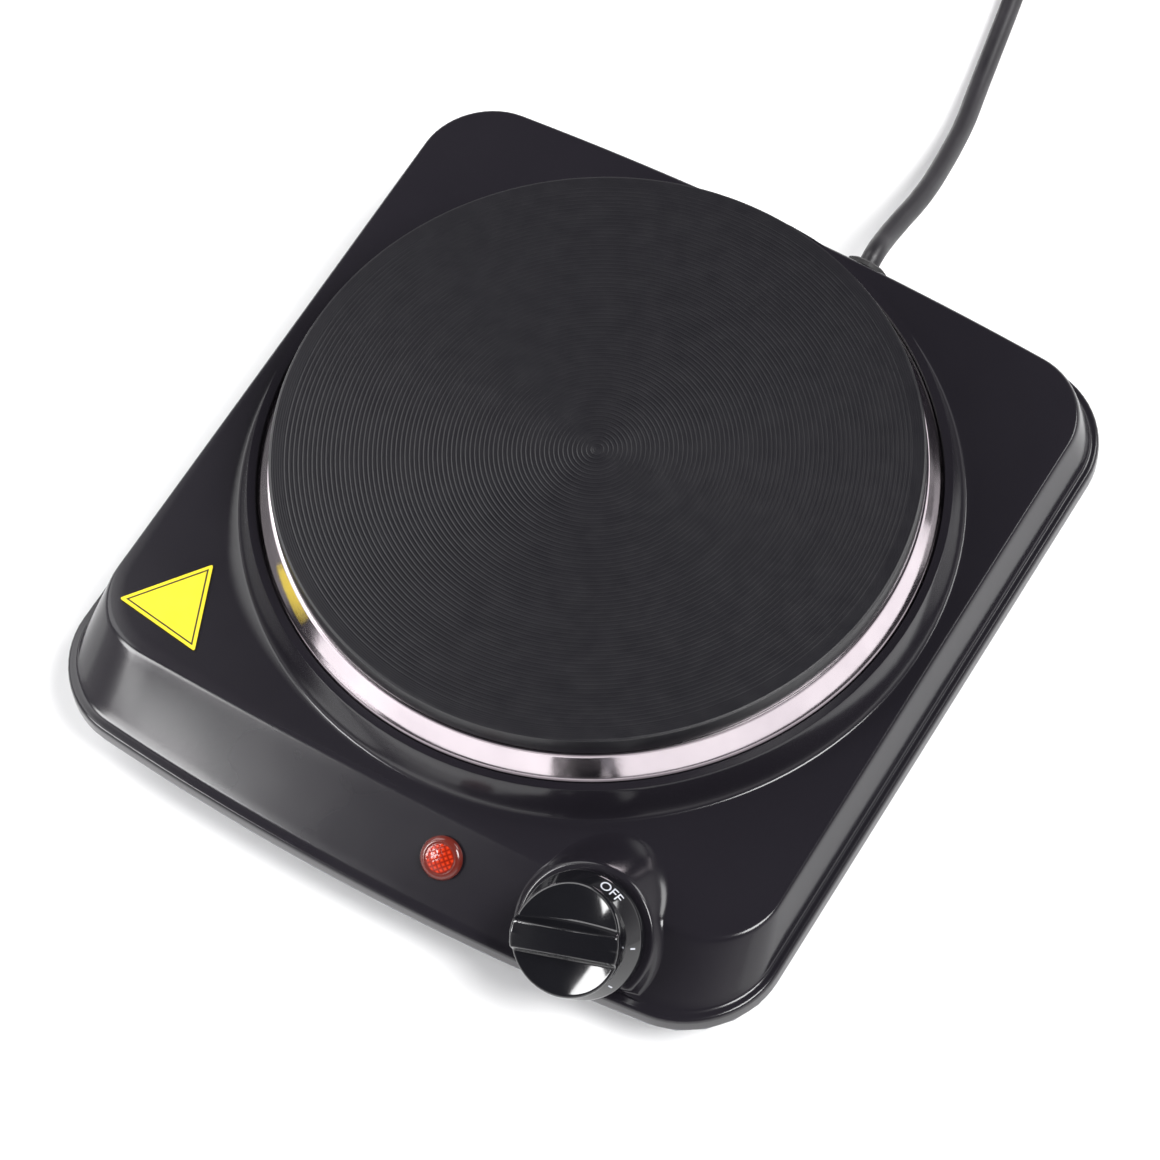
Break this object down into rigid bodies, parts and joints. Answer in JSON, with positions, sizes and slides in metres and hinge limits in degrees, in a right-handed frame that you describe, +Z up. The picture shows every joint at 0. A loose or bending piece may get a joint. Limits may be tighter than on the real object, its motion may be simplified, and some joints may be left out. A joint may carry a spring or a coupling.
{
  "type": "hot plate burner",
  "caption": "Electric hot plate: a cast-iron burner in a bright trim ring on a black pressed-steel body, with a sloping panel, a turning control knob, an indicator lamp and a mains cord with plug",
  "frame": {"origin": "on the table under the middle of the body's bounding box, cord left out", "axes": "+Z up, the control panel faces -Y, +X to the right of someone facing the panel"},
  "size_m": [0.2752, 0.4609, 0.0638],
  "materials": {
    "black_coat": "satin-gloss black coating",
    "galvanised": "galvanised sheet",
    "label": "yellow film",
    "iron": "black heat-proof coating, fine turned grooves",
    "stainless": "polished stainless steel",
    "zinc": "zinc plated",
    "brass": "machined brass",
    "ceramic": "unglazed steatite",
    "gloss_black": "polished black phenolic",
    "red_lens": "clear orange-red, diamond-cut inside",
    "white_plastic": "plain nylon",
    "rubber": "black moulded rubber",
    "cord_sheath": "black flexible sheath",
    "tie_wire": "black plastic-covered tie",
    "brown_wire": "brown silicone sleeve",
    "blue_wire": "blue silicone sleeve",
    "earth_wire": "green and yellow sleeve"
  },
  "bodies": {
    "body": {"upper_housing": "black_coat", "base_plate": "galvanised", "hot_surface_label": "label", "heating_plate": "iron", "trim_ring": "stainless", "reflector_dish": "galvanised", "clamp_bar": "zinc", "clamp_washer": "zinc", "clamp_nut": "zinc", "centre_stud": "zinc", "terminal_bead_1": "ceramic", "terminal_bead_2": "ceramic", "terminal_bead_3": "ceramic", "terminal_pin_1": "zinc", "terminal_pin_2": "zinc", "terminal_pin_3": "zinc", "thermal_fuse": "ceramic", "fuse_lead": "zinc", "thermostat_body": "ceramic", "thermostat_bush": "brass", "bush_nut": "brass", "indicator_lens": "red_lens", "lamp_body": "white_plastic", "lamp_clip": "zinc", "terminal_block": "ceramic", "cord_saddle": "white_plastic", "cord_strap": "white_plastic", "strap_screw_left": "zinc", "strap_screw_right": "zinc", "earth_screw": "brass", "wire_live": "brown_wire", "wire_switched": "brown_wire", "wire_neutral": "blue_wire", "wire_earth": "earth_wire", "rubber_foot_1": "rubber", "rubber_foot_2": "rubber", "rubber_foot_3": "rubber", "rubber_foot_4": "rubber", "foot_screw_1": "zinc", "foot_screw_2": "zinc", "foot_screw_3": "zinc", "foot_screw_4": "zinc", "housing_post_1": "zinc", "housing_post_2": "zinc", "housing_post_3": "zinc", "housing_post_4": "zinc", "cord_gland": "rubber", "cord_inside": "cord_sheath", "power_cord": "cord_sheath", "cord_coil": "cord_sheath", "cord_tie": "tie_wire", "plug_lead": "cord_sheath", "plug_body": "rubber", "plug_pin_left": "brass", "plug_pin_right": "brass"},
    "knob": {"control_knob": "gloss_black", "knob_clip": "zinc", "thermostat_shaft": "zinc"},
    "regulator_pin": {"adjusting_pin": "brass"}
  },
  "joints": [
    {"name": "knob_turn", "type": "hinge", "parent": "body", "child": "knob", "pos_m": [0.0645, -0.10302, 0.03067], "axis": [0, 0.6111, -0.7916], "range_deg": [0, 270]},
    {"name": "pin_feed", "type": "slide", "parent": "body", "child": "regulator_pin", "axis": [0, 0.6111, -0.7916], "range_m": [0, 0.0009]}
  ],
  "couplings": [
    {"joint": "pin_feed", "follows": "knob_turn", "m_per_rad": 0.00019}
  ]
}
